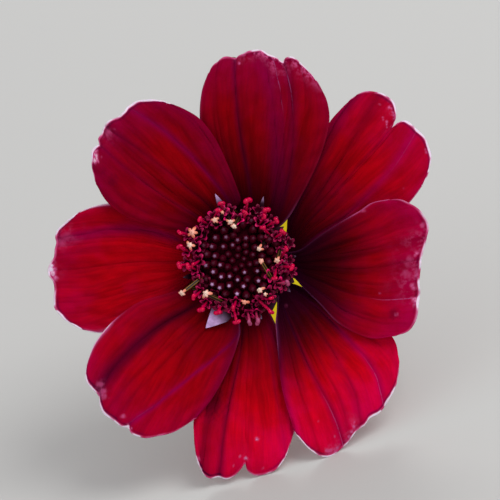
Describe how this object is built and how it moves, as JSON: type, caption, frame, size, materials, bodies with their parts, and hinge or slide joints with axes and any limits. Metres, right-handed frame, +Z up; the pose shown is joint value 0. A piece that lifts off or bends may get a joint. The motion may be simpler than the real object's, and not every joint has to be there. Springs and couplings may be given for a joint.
{
  "type": "chocolate cosmos",
  "caption": "Cut chocolate cosmos: velvety dark red petals round a maroon disc of florets, green bracts and a slender curved stem, lying on a table and propped on its petal tips.",
  "frame": {"origin": "middle of the flower's box, on the table that it lies on", "axes": "+Z up from the table, -Y the side that the flower faces, +Y along the stem to its cut end"},
  "size_m": [0.0405, 0.1071, 0.0367],
  "materials": {
    "petal": "matte",
    "floret": "satin",
    "inner_bract": "satin",
    "outer_bract": "satin",
    "stem": "satin"
  },
  "bodies": {
    "root": {"petal_1": "petal", "petal_2": "petal", "petal_3": "petal", "petal_4": "petal", "petal_5": "petal", "petal_6": "petal", "petal_7": "petal", "petal_8": "petal", "disc": "floret", "inner_bracts": "inner_bract", "outer_bracts": "outer_bract", "stem": "stem"}
  },
  "joints": []
}
